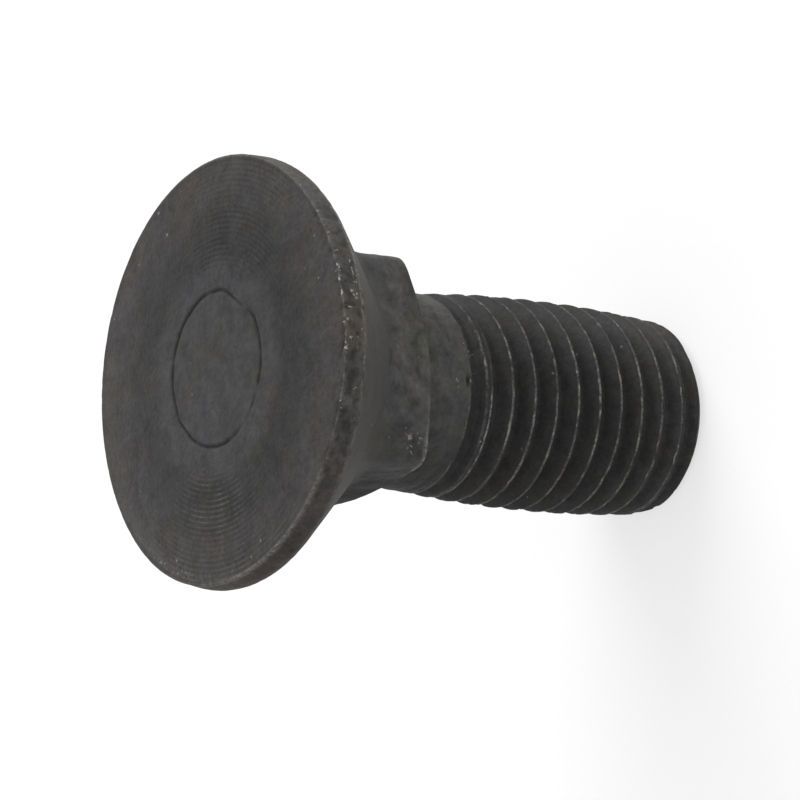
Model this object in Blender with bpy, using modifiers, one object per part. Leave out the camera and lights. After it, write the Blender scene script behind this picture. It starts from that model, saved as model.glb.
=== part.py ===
"""Plow bolt, 1 in - 8 UNC by 2 1/2 in, forged steel with a rolled thread.

It stands on the flat of its point with the head up. The origin is the centre of that flat,
+Z runs along the axis towards the head, and the square neck's flats face X and Y.
"""

import math

import bmesh
import bpy
from mathutils import Vector

MM = 0.001

# Over all
OVERALL_LENGTH = 63.5 * MM

# Head
HEAD_DIAMETER = 51.2 * MM
CROWN_HEIGHT = 0.9 * MM
RIM_HEIGHT = 3.0 * MM
RIM_DRAFT = 0.2 * MM
RIM_FRONT_ROUNDING = 0.25 * MM
RIM_BACK_ROUNDING = 0.35 * MM
COUNTERSINK_HALF_ANGLE = math.radians(45)
THROAT_FILLET = 3.0 * MM
THROAT_SINK = 0.5 * MM
RING_DIAMETER = 18.5 * MM
RING_GROOVE_WIDTH = 1.0 * MM
RING_GROOVE_DEPTH = 0.22 * MM

# Thread, a right-hand 1 in - 8 UNC, which the neck and the shank are sized from
THREAD_DIAMETER = 25.4 * MM
THREAD_PITCH = 3.175 * MM
DEPTH_PER_PITCH = 0.6134
CREST_PER_PITCH = 0.125
FLANK_ANGLE = math.radians(30)
ROOT_ROUNDING = 0.12 * MM
ROOT_START_ANGLE = math.radians(14)
CREST_BARREL = 0.7 * MM
CREST_RISE_LENGTH = 10.5 * MM
RUNOUT_LENGTH = 4.4 * MM

# Square neck, from the end of the countersink down
NECK_OVERSIZE = 0.2 * MM
NECK_LENGTH = 5.8 * MM
NECK_CORNER_RADIUS = 2.0 * MM
NECK_END_ANGLE = math.radians(28)
NECK_END_INSET = 0.3 * MM

# Plain shank, left at the size of the blank that the thread is rolled on
SHANK_UNDERSIZE = 1.8 * MM
SHANK_LENGTH = 5.0 * MM

# Chamfered point
POINT_UNDERSIZE = 0.3 * MM
POINT_CHAMFER_ANGLE = math.radians(48)

# How finely the curves are cut into facets
FACETS = 64
FACE_STEPS = 3
EDGE_STEPS = 3
THROAT_STEPS = 5
CORNER_STEPS = 4
LEAD_IN_TURNS = 2
MERGE = 0.01 * MM
SHARP_ANGLE = math.radians(25)

# Sizes that follow from the ones above
HEAD_RADIUS = HEAD_DIAMETER / 2
RIM_BACK_RADIUS = HEAD_RADIUS - RIM_DRAFT
THREAD_RADIUS = THREAD_DIAMETER / 2
ROOT_RADIUS = THREAD_RADIUS - DEPTH_PER_PITCH * THREAD_PITCH
SHANK_RADIUS = (THREAD_DIAMETER - SHANK_UNDERSIZE) / 2
NECK_WIDTH = THREAD_DIAMETER + NECK_OVERSIZE
NECK_HALF = NECK_WIDTH / 2
POINT_RADIUS = ROOT_RADIUS - POINT_UNDERSIZE / 2

# Heights above the point, from the face down
FACE_EDGE_Z = OVERALL_LENGTH - CROWN_HEIGHT
RIM_BACK_Z = FACE_EDGE_Z - RIM_HEIGHT
CONE_END_Z = RIM_BACK_Z - (RIM_BACK_RADIUS - NECK_HALF) / math.tan(COUNTERSINK_HALF_ANGLE)
NECK_END_Z = CONE_END_Z - NECK_LENGTH
RUNOUT_TOP_Z = NECK_END_Z - SHANK_LENGTH
THREAD_TOP_Z = RUNOUT_TOP_Z - RUNOUT_LENGTH
THREAD_MIDDLE_Z = RUNOUT_TOP_Z / 2
CHAMFER_TOP_Z = (THREAD_RADIUS - CREST_BARREL - POINT_RADIUS) / math.tan(POINT_CHAMFER_ANGLE)

STEEL_COLOUR = (0.062, 0.060, 0.058, 1.0)
STEEL_ROUGHNESS = 0.5
STEEL_METALLIC = 0.75


def clear_scene():
    for obj in list(bpy.data.objects):
        bpy.data.objects.remove(obj, do_unlink=True)


def new_collection(name):
    collection = bpy.data.collections.new(name)
    bpy.context.scene.collection.children.link(collection)
    return collection


def new_object(name, bm, collection):
    """An object from a bmesh, shaded smooth between the edges that turn sharply."""
    mesh = bpy.data.meshes.new(name)
    bm.to_mesh(mesh)
    bm.free()
    mesh.shade_smooth()
    mesh.set_sharp_from_angle(angle=SHARP_ANGLE)
    obj = bpy.data.objects.new(name, mesh)
    collection.objects.link(obj)
    return obj


def black_oxide_steel():
    material = bpy.data.materials.new("black_oxide_steel")
    material.use_nodes = True
    shader = material.node_tree.nodes["Principled BSDF"]
    shader.inputs["Base Color"].default_value = STEEL_COLOUR
    shader.inputs["Roughness"].default_value = STEEL_ROUGHNESS
    shader.inputs["Metallic"].default_value = STEEL_METALLIC
    return material


def arc(centre, radius, start, end, steps):
    """Points of an arc in the (r, z) plane, both ends included, angles counted from +r towards +z."""
    angles = [start + (end - start) * i / steps for i in range(steps + 1)]
    return [(centre[0] + radius * math.cos(a), centre[1] + radius * math.sin(a)) for a in angles]


def crowned_face():
    """The face from its middle out to the rim: one shallow dome with a ring groove pressed in."""
    edge_r = HEAD_RADIUS - RIM_FRONT_ROUNDING
    dome_radius = (edge_r**2 + CROWN_HEIGHT**2) / (2 * CROWN_HEIGHT)
    dome_centre_z = OVERALL_LENGTH - dome_radius

    def on_dome(start_r, end_r, steps):
        radii = [start_r + (end_r - start_r) * i / steps for i in range(steps + 1)]
        return [(r, dome_centre_z + math.sqrt(dome_radius**2 - r**2)) for r in radii]

    ring_r = RING_DIAMETER / 2
    lip = RING_GROOVE_WIDTH / 2
    inside = on_dome(0, ring_r - lip, FACE_STEPS)
    groove_bottom = (ring_r, inside[-1][1] - RING_GROOVE_DEPTH)
    outside = on_dome(ring_r + lip, edge_r, FACE_STEPS)
    return inside + [groove_bottom] + outside[:-1]


def rim():
    """The band round the head, slightly smaller at its back, with its two worn edges."""
    front_centre = (HEAD_RADIUS - RIM_FRONT_ROUNDING, FACE_EDGE_Z - RIM_FRONT_ROUNDING)
    back_centre = (
        RIM_BACK_RADIUS - RIM_BACK_ROUNDING,
        RIM_BACK_Z + RIM_BACK_ROUNDING * math.tan(COUNTERSINK_HALF_ANGLE / 2),
    )
    front = arc(front_centre, RIM_FRONT_ROUNDING, math.pi / 2, 0, EDGE_STEPS)
    cone_side = COUNTERSINK_HALF_ANGLE - math.pi / 2
    return front + arc(back_centre, RIM_BACK_ROUNDING, 0, cone_side, EDGE_STEPS)


def throat():
    """The concave turn from the countersunk cone into the neck, which ends just inside its flats."""
    corner_z = CONE_END_Z - THROAT_SINK / math.tan(COUNTERSINK_HALF_ANGLE)
    tangent = THROAT_FILLET * math.tan(COUNTERSINK_HALF_ANGLE / 2)
    centre = (NECK_HALF - THROAT_SINK + THROAT_FILLET, corner_z - tangent)
    return arc(centre, THROAT_FILLET, math.pi - COUNTERSINK_HALF_ANGLE, math.pi, THROAT_STEPS)


def blank_outline():
    """Half section of the forged blank. Its tail narrows into the thread, which hides its end."""
    narrowing = (SHANK_RADIUS - ROOT_RADIUS) / RUNOUT_LENGTH
    tail_z = THREAD_TOP_Z - THREAD_PITCH
    tail_r = ROOT_RADIUS - THREAD_PITCH * narrowing
    points = crowned_face() + rim() + throat()
    points.append((SHANK_RADIUS, points[-1][1]))
    points.append((SHANK_RADIUS, RUNOUT_TOP_Z))
    points.append((tail_r, tail_z))
    points.append((0, tail_z))
    return points


def turned(name, outline, collection):
    """A profile in the XZ plane, turned round Z. It runs down its outer side."""
    bm = bmesh.new()
    verts = [bm.verts.new((r, 0, z)) for r, z in outline]
    for upper, lower in zip(verts, verts[1:]):
        bm.edges.new((upper, lower))
    obj = new_object(name, bm, collection)
    screw = obj.modifiers.new("turn", "SCREW")
    screw.axis = "Z"
    screw.angle = math.tau
    screw.steps = FACETS
    screw.render_steps = FACETS
    screw.use_merge_vertices = True
    screw.merge_threshold = MERGE
    return obj


def combine(obj, helper, operation):
    """Adds a Boolean to an object, and hides the helper shape that it takes."""
    boolean = obj.modifiers.new(operation.lower() + " " + helper.name, "BOOLEAN")
    boolean.operation = operation
    boolean.solver = "EXACT"
    boolean.object = helper
    helper.hide_render = True
    helper.display_type = "WIRE"


def neck_end_form(helpers):
    """A turned form whose low cone takes the end off the square bar, so its corners fall back."""
    end_r = NECK_HALF - NECK_END_INSET
    outer_r = NECK_WIDTH
    outer_z = NECK_END_Z + (outer_r - end_r) * math.tan(NECK_END_ANGLE)
    outline = [
        (0, FACE_EDGE_Z),
        (outer_r, FACE_EDGE_Z),
        (outer_r, outer_z),
        (end_r, NECK_END_Z),
        (0, NECK_END_Z),
    ]
    return turned("neck_end_form", outline, helpers)


def square_neck(helpers):
    """A square bar with rounded corners, from inside the head to past the neck's end."""
    bottom_z = RUNOUT_TOP_Z
    height = RIM_BACK_Z - bottom_z
    bm = bmesh.new()
    bmesh.ops.create_cube(bm, size=1)
    bmesh.ops.scale(bm, vec=Vector((NECK_WIDTH, NECK_WIDTH, height)), verts=bm.verts)
    bmesh.ops.translate(bm, vec=Vector((0, 0, bottom_z + height / 2)), verts=bm.verts)
    corners = [e for e in bm.edges if abs(e.verts[0].co.z - e.verts[1].co.z) > MERGE]
    bmesh.ops.bevel(
        bm,
        geom=corners,
        offset=NECK_CORNER_RADIUS,
        offset_type="OFFSET",
        affect="EDGES",
        segments=CORNER_STEPS,
        profile=0.5,
        material=-1,
    )
    neck = new_object("neck_bar", bm, helpers)
    combine(neck, neck_end_form(helpers), "INTERSECT")
    return neck


def crest_radius(z):
    """How far out the thread may reach at a height: a slight barrel, the point's chamfer, the run-out."""
    barrel = THREAD_RADIUS - CREST_BARREL * (z / THREAD_MIDDLE_Z - 1) ** 2
    point = POINT_RADIUS + z * math.tan(POINT_CHAMFER_ANGLE)
    rise = (THREAD_RADIUS - SHANK_RADIUS) / CREST_RISE_LENGTH
    runout = SHANK_RADIUS + rise * (RUNOUT_TOP_Z - z)
    return min(barrel, point, runout)


def thread_profile():
    """One pitch of the thread, root to root, as (r, height)."""
    middle = THREAD_PITCH / 2
    half_crest = CREST_PER_PITCH * THREAD_PITCH / 2
    foot_r = ROOT_RADIUS + ROOT_ROUNDING
    foot = half_crest + (THREAD_RADIUS - foot_r) * math.tan(FLANK_ANGLE)
    return [
        (ROOT_RADIUS, 0),
        (foot_r, middle - foot),
        (THREAD_RADIUS, middle - half_crest),
        (THREAD_RADIUS, middle + half_crest),
        (foot_r, middle + foot),
        (ROOT_RADIUS, THREAD_PITCH),
    ]


def cut_level(bm, height, clear_below=False, clear_above=False):
    """Cuts the rod by a level plane, which adds a ring of edges or takes one side away."""
    bmesh.ops.bisect_plane(
        bm,
        geom=bm.verts[:] + bm.edges[:] + bm.faces[:],
        dist=MERGE / 10,
        plane_co=(0, 0, height),
        plane_no=(0, 0, 1),
        clear_inner=clear_below,
        clear_outer=clear_above,
    )
    if clear_below or clear_above:
        open_edges = [e for e in bm.edges if e.is_boundary]
        level = [e for e in open_edges if all(abs(v.co.z - height) < MERGE for v in e.verts)]
        bmesh.ops.contextual_create(bm, geom=level)


def thread_rod(helpers):
    """The threaded rod: one pitch's profile spun up a helix, its turns welded, cut flat and capped.

    Its facets lie half a facet round from the blank's, so no edges of the two run along each other.
    """
    facet = math.tau / FACETS
    start_angle = (math.floor(ROOT_START_ANGLE / facet) + 0.5) * facet
    heading = Vector((math.cos(start_angle), math.sin(start_angle), 0))
    start_z = -LEAD_IN_TURNS * THREAD_PITCH
    top_z = RUNOUT_TOP_Z + THREAD_PITCH / 2
    turns = math.ceil((top_z - start_z) / THREAD_PITCH) + 1
    bm = bmesh.new()
    verts = [bm.verts.new(heading * r + Vector((0, 0, start_z + z))) for r, z in thread_profile()]
    edges = [bm.edges.new(pair) for pair in zip(verts, verts[1:])]
    bmesh.ops.spin(
        bm,
        geom=verts + edges,
        cent=(0, 0, 0),
        axis=(0, 0, 1),
        dvec=(0, 0, THREAD_PITCH / FACETS),
        angle=math.tau * turns,
        steps=FACETS * turns,
        use_merge=False,
        use_duplicate=False,
    )
    bmesh.ops.remove_doubles(bm, verts=bm.verts, dist=MERGE)
    cut_level(bm, 0, clear_below=True)
    cut_level(bm, top_z, clear_above=True)
    cut_level(bm, CHAMFER_TOP_Z)
    for vert in bm.verts:
        reach = math.hypot(vert.co.x, vert.co.y)
        shrink = min(1, crest_radius(vert.co.z) / reach)
        vert.co.x *= shrink
        vert.co.y *= shrink
    bmesh.ops.recalc_face_normals(bm, faces=bm.faces)
    return new_object("thread_rod", bm, helpers)


def plow_bolt():
    parts = new_collection("plow_bolt")
    helpers = new_collection("cutters")
    bolt = turned("plow_bolt", blank_outline(), parts)
    combine(bolt, square_neck(helpers), "UNION")
    combine(bolt, thread_rod(helpers), "UNION")
    bolt.data.materials.append(black_oxide_steel())


clear_scene()
plow_bolt()
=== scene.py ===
# %% [markdown]
# A plow bolt is one piece of forged steel: a wide countersunk head with a crowned face, a square neck
# that keeps it from turning in its hole, a short plain shank and a rolled thread. This notebook dresses
# the plain solid of that bolt. It makes a much finer mesh of the same form, wears and pits it as years
# of handling do, and gives it the dark, slightly mottled skin of black oxide.

# %% Load the bolt's solid
import math
import bmesh
import bpy
from mathutils import Matrix, Vector, noise


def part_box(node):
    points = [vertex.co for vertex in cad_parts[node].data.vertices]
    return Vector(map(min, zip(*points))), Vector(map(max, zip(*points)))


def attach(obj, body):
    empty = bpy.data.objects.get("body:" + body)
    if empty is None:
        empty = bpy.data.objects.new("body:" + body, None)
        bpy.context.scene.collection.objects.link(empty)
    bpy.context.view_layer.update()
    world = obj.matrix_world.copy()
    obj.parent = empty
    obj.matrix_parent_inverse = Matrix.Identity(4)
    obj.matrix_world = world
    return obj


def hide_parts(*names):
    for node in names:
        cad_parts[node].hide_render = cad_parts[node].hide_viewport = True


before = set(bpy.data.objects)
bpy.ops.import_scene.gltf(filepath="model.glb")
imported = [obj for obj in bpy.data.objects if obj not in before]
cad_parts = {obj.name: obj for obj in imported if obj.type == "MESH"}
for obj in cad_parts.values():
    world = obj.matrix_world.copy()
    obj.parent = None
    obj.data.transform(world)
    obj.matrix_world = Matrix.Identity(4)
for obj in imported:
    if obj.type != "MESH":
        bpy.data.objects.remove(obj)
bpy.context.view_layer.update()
MM = 0.001
scene = bpy.context.scene

# %% [markdown]
# The bolt stands on the flat of its point, but the picture shows it lying across the frame. So the
# camera looks down at it from the head's side, and is then rolled a quarter turn about its own axis.
# A long lens far away keeps the head's outline close to a true ellipse.

# %% Camera
CAMERA_AZIMUTH = math.radians(-18.97)
CAMERA_ELEVATION = math.radians(34.81)
CAMERA_ROLL = math.radians(-83.68)
CAMERA_DISTANCE = 870.4 * MM
CAMERA_LENS = 329.17
AIM = Vector((-0.96, 0.33, 36.68)) * MM


def add_camera():
    level = math.cos(CAMERA_ELEVATION)
    back = Vector(
        (
            math.sin(CAMERA_AZIMUTH) * level,
            -math.cos(CAMERA_AZIMUTH) * level,
            math.sin(CAMERA_ELEVATION),
        )
    )
    turn = (-back).to_track_quat("-Z", "Y").to_matrix().to_4x4()
    camera = bpy.data.objects.new("camera", bpy.data.cameras.new("camera"))
    camera.data.sensor_width = 36
    camera.data.lens = CAMERA_LENS
    place = Matrix.Translation(AIM + back * CAMERA_DISTANCE)
    camera.matrix_world = place @ turn @ Matrix.Rotation(CAMERA_ROLL, 4, "Z")
    scene.collection.objects.link(camera)
    scene.camera = camera
    return camera


camera = add_camera()
print("camera at", [round(c / MM) for c in camera.matrix_world.translation])

# %% [markdown]
# A dark metal part shows best in a bright, plain room: light from everywhere keeps its form readable,
# and one broad, soft lamp gives the round shank a lighter side.

# %% Lamp and world
LAMP_ELEVATION = math.radians(35)
LAMP_HEADING = math.radians(5)
LAMP_SPREAD = math.radians(45)
LAMP_STRENGTH = 2.6
WORLD_GREY = (0.85, 0.85, 0.85, 1.0)


def add_lamp():
    level = math.cos(LAMP_ELEVATION)
    towards = Vector(
        (math.cos(LAMP_HEADING) * level, math.sin(LAMP_HEADING) * level, math.sin(LAMP_ELEVATION))
    )
    lamp = bpy.data.objects.new("soft_lamp", bpy.data.lights.new("soft_lamp", "SUN"))
    lamp.data.energy = LAMP_STRENGTH
    lamp.data.angle = LAMP_SPREAD
    lamp.rotation_mode = "QUATERNION"
    lamp.rotation_quaternion = towards.to_track_quat("Z", "Y")
    lamp.location = towards
    scene.collection.objects.link(lamp)


def set_world():
    world = bpy.data.worlds.new("studio")
    world.use_nodes = True
    world.node_tree.nodes["Background"].inputs["Color"].default_value = WORLD_GREY
    scene.world = world


add_lamp()
set_world()
scene.view_settings.view_transform = "Standard"
print("lamp at elevation", round(math.degrees(LAMP_ELEVATION)), "degrees")

# %% [markdown]
# Node trees are easier to read as code when one helper adds a node, sets its values and links its
# inputs. Every material and node group below is written with it.

# %% Helpers for nodes


def add_node(tree, kind, inputs=None, **settings):
    """Adds a node. An input may be a plain value, or the output socket that feeds it."""
    node = tree.nodes.new(kind)
    for name, value in settings.items():
        setattr(node, name, value)
    for key, value in (inputs or {}).items():
        if isinstance(value, bpy.types.NodeSocket):
            tree.links.new(value, node.inputs[key])
        else:
            node.inputs[key].default_value = value
    return node


def calc(tree, operation, first, second=0.0):
    """One sum on numbers, as an output socket."""
    return add_node(tree, "ShaderNodeMath", {0: first, 1: second}, operation=operation).outputs[0]


def product(tree, first, *others):
    """Numbers multiplied with each other, as an output socket."""
    for other in others:
        first = calc(tree, "MULTIPLY", first, other)
    return first


def blend(tree, factor, first, second):
    """A mix of two colours, as an output socket."""
    inputs = {"Factor": factor, 6: first, 7: second}
    return add_node(tree, "ShaderNodeMix", inputs, data_type="RGBA").outputs[2]


def remap(tree, value, low, high, to_low=0.0, to_high=1.0, smooth=False):
    """A number taken from one range to another and held inside it, as an output socket."""
    kind = "SMOOTHSTEP" if smooth else "LINEAR"
    inputs = {0: value, 1: low, 2: high, 3: to_low, 4: to_high}
    return add_node(tree, "ShaderNodeMapRange", inputs, interpolation_type=kind).outputs[0]


def clouds(tree, coordinates, scale, detail=3.0, roughness=0.55):
    """A cloudy noise between 0 and 1, as an output socket."""
    inputs = {"Vector": coordinates, "Scale": scale, "Detail": detail, "Roughness": roughness}
    return add_node(tree, "ShaderNodeTexNoise", inputs).outputs[0]


def object_place(tree):
    """Where a point of the surface lies in its own object, as an output socket."""
    return add_node(tree, "ShaderNodeTexCoord").outputs["Object"]


def axes_of(tree, place):
    """The X, Y and Z of a place, as output sockets."""
    return add_node(tree, "ShaderNodeSeparateXYZ", {0: place}).outputs


def new_material(name):
    material = bpy.data.materials.new(name)
    material.use_nodes = True
    material.node_tree.nodes.clear()
    return material, material.node_tree


# %% Helper for objects


def object_from(bm, name):
    """A smooth object at the origin, made from a bmesh."""
    mesh = bpy.data.meshes.new(name)
    bm.to_mesh(mesh)
    bm.free()
    mesh.shade_smooth()
    made = bpy.data.objects.new(name, mesh)
    scene.collection.objects.link(made)
    return made


# %% [markdown]
# The floor sweeps up into a low wall, so it fills the view from every side. It looks white to the camera
# and in reflections, and a little greyer to the light that bounces off it, so the side of the bolt near
# the floor doesn't glow.

# %% Floor
FLOOR_REACH = 4.0
SWEEP_RADIUS = 0.5
SWEEP_STEPS = 12
FLOOR_SPIN_STEPS = 96
FLOOR_BOUNCE = (0.6, 0.6, 0.6, 1.0)
FLOOR_SHADOWED = (0.30, 0.30, 0.30, 1.0)
FLOOR_GLOW = 0.65


def floor_material():
    material, tree = new_material("pale_floor")
    path = add_node(tree, "ShaderNodeLightPath").outputs
    seen = calc(tree, "MAXIMUM", path["Is Camera Ray"], path["Is Glossy Ray"])
    seen = calc(tree, "MAXIMUM", seen, path["Is Transmission Ray"])
    unseen = add_node(tree, "ShaderNodeBsdfDiffuse", {"Color": FLOOR_BOUNCE}).outputs[0]
    shadowed = add_node(tree, "ShaderNodeBsdfDiffuse", {"Color": FLOOR_SHADOWED}).outputs[0]
    glow = add_node(tree, "ShaderNodeEmission", {"Strength": FLOOR_GLOW}).outputs[0]
    white = add_node(tree, "ShaderNodeAddShader", {0: shadowed, 1: glow}).outputs[0]
    mixed = add_node(tree, "ShaderNodeMixShader", {0: seen, 1: unseen, 2: white}).outputs[0]
    add_node(tree, "ShaderNodeOutputMaterial", {"Surface": mixed})
    return material


def add_floor():
    """A round floor whose edge curves up: half its section, spun about the bolt's axis."""
    bm = bmesh.new()
    angles = [math.pi / 2 * i / SWEEP_STEPS for i in range(SWEEP_STEPS + 1)]
    section = [(0, 0)] + [
        (FLOOR_REACH + SWEEP_RADIUS * math.sin(a), SWEEP_RADIUS * (1 - math.cos(a))) for a in angles
    ]
    verts = [bm.verts.new((r, 0, z)) for r, z in section]
    edges = [bm.edges.new(pair) for pair in zip(verts, verts[1:])]
    bmesh.ops.spin(
        bm, geom=verts + edges, cent=(0, 0, 0), axis=(0, 0, 1), angle=math.tau,
        steps=FLOOR_SPIN_STEPS, use_merge=True, use_duplicate=False,
    )
    bmesh.ops.remove_doubles(bm, verts=bm.verts, dist=MM)
    bmesh.ops.recalc_face_normals(bm, faces=bm.faces)
    floor = object_from(bm, "floor")
    floor.data.materials.append(floor_material())


add_floor()
print("floor", 2 * FLOOR_REACH, "m across")

# %% [markdown]
# The forged part of the bolt is round, apart from its square neck. Its section is a path whose corners
# are rounded by arcs. Spinning one section gives a round blank, and each vertex remembers which point
# of the section it came from. Then every angle gets a section of its own, in which the neck's side
# lies where the square has it. So the rows of faces follow the neck's edges closely, which a round
# blank cut by a square one would not do.

# %% Path with rounded corners


def bend(before, corner, after, radius, steps):
    """Points of the arc that rounds a corner."""
    back = (before - corner).normalized()
    ahead = (after - corner).normalized()
    opening = back.angle(ahead)
    reach = radius / math.tan(opening / 2)
    centre = corner + (back + ahead).normalized() * radius / math.sin(opening / 2)
    start = corner + back * reach - centre
    end = corner + ahead * reach - centre
    turn = math.pi - opening
    shares = [i / steps for i in range(steps + 1)]
    return [
        centre + (start * math.sin((1 - s) * turn) + end * math.sin(s * turn)) / math.sin(turn)
        for s in shares
    ]


def rounded_path(corners):
    """Points along a path of (place, radius, steps on the bend, steps on the run after it)."""
    bends = []
    for i, (place, radius, steps, _) in enumerate(corners):
        bends.append([place])
        if 0 < i < len(corners) - 1 and radius > 0:
            bends[-1] = bend(corners[i - 1][0], place, corners[i + 1][0], radius, steps)
    points = []
    for here, following, corner in zip(bends, bends[1:], corners):
        points += here
        run_steps = corner[3]
        points += [here[-1].lerp(following[0], i / run_steps) for i in range(1, run_steps)]
    return points + bends[-1]


# %% Section of the forged head, neck and shank
BOLT_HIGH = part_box("plow_bolt")[1]
LENGTH = BOLT_HIGH.z
HEAD_RADIUS = BOLT_HIGH.x
CROWN_HEIGHT = 0.9 * MM
RIM_HEIGHT = 3.0 * MM
RIM_DRAFT = 0.2 * MM
SHANK_RADIUS = 11.8 * MM
NECK_HALF = 12.8 * MM
NECK_LENGTH = 5.8 * MM
NECK_CORNER_RADIUS = 2.0 * MM
NECK_END_INSET = 0.3 * MM
NECK_END_ANGLE = math.radians(28)
FULL_CORNER = -135
FULL_CORNER_SPREAD = 40
FULL_CORNER_LIFT = math.radians(10)
RIM_EDGE_ROUNDING = 0.25 * MM
RIM_BACK_ROUNDING = 0.8 * MM
THROAT_ROUNDING = 4.6 * MM
NECK_END_ROUNDING = 0.45 * MM
SHANK_FILLET = 0.35 * MM
SHANK_LENGTH = 5.0 * MM
FACE_EDGE_Z = LENGTH - CROWN_HEIGHT
RIM_BACK_Z = FACE_EDGE_Z - RIM_HEIGHT
RIM_BACK_RADIUS = HEAD_RADIUS - RIM_DRAFT
CONE_END_Z = RIM_BACK_Z - (RIM_BACK_RADIUS - NECK_HALF)
NECK_END_Z = CONE_END_Z - NECK_LENGTH
RUNOUT_TOP_Z = NECK_END_Z - SHANK_LENGTH
SEAM_Z = RUNOUT_TOP_Z + 1.0 * MM

GROOVE_RADIUS = 9.25 * MM
GROOVE_ZONE = 1.1 * MM
INNER_FACE_STEPS = 12
GROOVE_STEPS = 14
OUTER_FACE_STEPS = 96


def face_radii():
    """How far out the rows of the face lie: close together at the groove and where it was turned."""
    inner = GROOVE_RADIUS - GROOVE_ZONE
    outer = GROOVE_RADIUS + GROOVE_ZONE
    edge = HEAD_RADIUS - RIM_EDGE_ROUNDING
    radii = [inner * i / INNER_FACE_STEPS for i in range(INNER_FACE_STEPS)]
    radii += [inner + (outer - inner) * i / GROOVE_STEPS for i in range(GROOVE_STEPS)]
    radii += [outer + (edge - outer) * i / OUTER_FACE_STEPS for i in range(OUTER_FACE_STEPS)]
    return radii


def dome_height(r):
    """Height of the crowned face, a shallow part of a sphere."""
    edge = HEAD_RADIUS - RIM_EDGE_ROUNDING
    sphere = (edge**2 + CROWN_HEIGHT**2) / (2 * CROWN_HEIGHT)
    return LENGTH - sphere + math.sqrt(sphere**2 - r**2)


FACE_ROWS = [Vector((r, dome_height(r))) for r in face_radii()]


def head_section(neck_side, end_slope):
    """The section at an angle at which the neck's side lies this far from the axis."""
    cone_end_z = RIM_BACK_Z - (RIM_BACK_RADIUS - neck_side)
    end_radius = NECK_HALF - NECK_END_INSET
    side_end_z = NECK_END_Z + (neck_side - end_radius) * end_slope
    corners = [
        (FACE_ROWS[-1], 0, 0, 1),
        (Vector((HEAD_RADIUS, FACE_EDGE_Z)), RIM_EDGE_ROUNDING, 4, 11),
        (Vector((RIM_BACK_RADIUS, RIM_BACK_Z)), RIM_BACK_ROUNDING, 4, 22),
        (Vector((neck_side, cone_end_z)), THROAT_ROUNDING, 8, 13),
        (Vector((neck_side, side_end_z)), NECK_END_ROUNDING, 4, 5),
        (Vector((end_radius, NECK_END_Z)), 0, 0, 2),
        (Vector((SHANK_RADIUS, NECK_END_Z)), SHANK_FILLET, 3, 8),
        (Vector((SHANK_RADIUS, SEAM_Z)), 0, 0, 0),
    ]
    return FACE_ROWS[:-1] + rounded_path(corners)


def square_side(angle):
    """Distance from the axis to the side of a square with rounded corners."""
    along, across = sorted((abs(math.cos(angle)), abs(math.sin(angle))), reverse=True)
    centre = NECK_HALF - NECK_CORNER_RADIUS
    if NECK_HALF / along * across <= centre:
        return NECK_HALF / along
    reach = centre * (along + across)
    return reach + math.sqrt(reach**2 - 2 * centre**2 + NECK_CORNER_RADIUS**2)


def corner_slope(angle):
    """Slope of the neck's end. The forging left one of its four corners fuller than the others."""
    away = (math.degrees(angle) - FULL_CORNER) % 360
    share = max(0, 1 - min(away, 360 - away) / FULL_CORNER_SPREAD)
    return math.tan(NECK_END_ANGLE - FULL_CORNER_LIFT * share)


print("rows in the section:", len(head_section(NECK_HALF, corner_slope(0))))

# %% Helpers for soft steps


def smoothly(low, high, value):
    """0 below one value, 1 above the other, and a soft step between them."""
    share = min(1, max(0, (value - low) / (high - low)))
    return share * share * (3 - 2 * share)


def near(value, target, width):
    """1 at the target, 0 from a width away."""
    return 1 - smoothly(0, width, abs(value - target))


def near_angle(angle, degrees, width):
    """As near, for an angle in radians and a target and width in degrees."""
    away = (math.degrees(angle) - degrees + 180) % 360 - 180
    return 1 - smoothly(0, width, abs(away))


# %% Spin the forged part
HEAD_SPIN_STEPS = 240
WELD = 0.002 * MM
RIM_BARREL = 0.2 * MM
FACE_DRAWN_IN = 0.75 * MM
DRAWN_IN_FROM = 15 * MM
DRAWN_IN_ANGLE = -166
DRAWN_IN_SPREAD = 63


def spin_profile(bm, points, start_angle, angle, steps, rise=0.0):
    """Spins a row of (r, z) points about the axis. Each vertex keeps the number of its point."""
    row_layer = bm.verts.layers.int.get("row") or bm.verts.layers.int.new("row")
    heading = Vector((math.cos(start_angle), math.sin(start_angle), 0))
    verts = []
    for row, (r, z) in enumerate(points):
        vert = bm.verts.new(heading * r + Vector((0, 0, z)))
        vert[row_layer] = row
        verts.append(vert)
    edges = [bm.edges.new(pair) for pair in zip(verts, verts[1:])]
    bmesh.ops.spin(
        bm, geom=verts + edges, cent=(0, 0, 0), axis=(0, 0, 1), dvec=(0, 0, rise), angle=angle,
        steps=steps, use_merge=rise == 0, use_duplicate=False,
    )
    bmesh.ops.remove_doubles(bm, verts=bm.verts, dist=WELD)
    return row_layer


def uneven_head(r, z, angle):
    """The rim bulges a little. The die sat off the axis, so the face's edge is short on the -X side."""
    if z > RIM_BACK_Z and r > RIM_BACK_RADIUS - WELD:
        bulge = math.sin(math.pi * min(1, (z - RIM_BACK_Z) / RIM_HEIGHT))
        r = min(HEAD_RADIUS, r + RIM_BARREL * bulge)
    high = smoothly(RIM_BACK_Z + 1 * MM, FACE_EDGE_Z, z)
    short = high * smoothly(DRAWN_IN_FROM, HEAD_RADIUS, r)
    return r - FACE_DRAWN_IN * (short * near_angle(angle, DRAWN_IN_ANGLE, DRAWN_IN_SPREAD))


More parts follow.
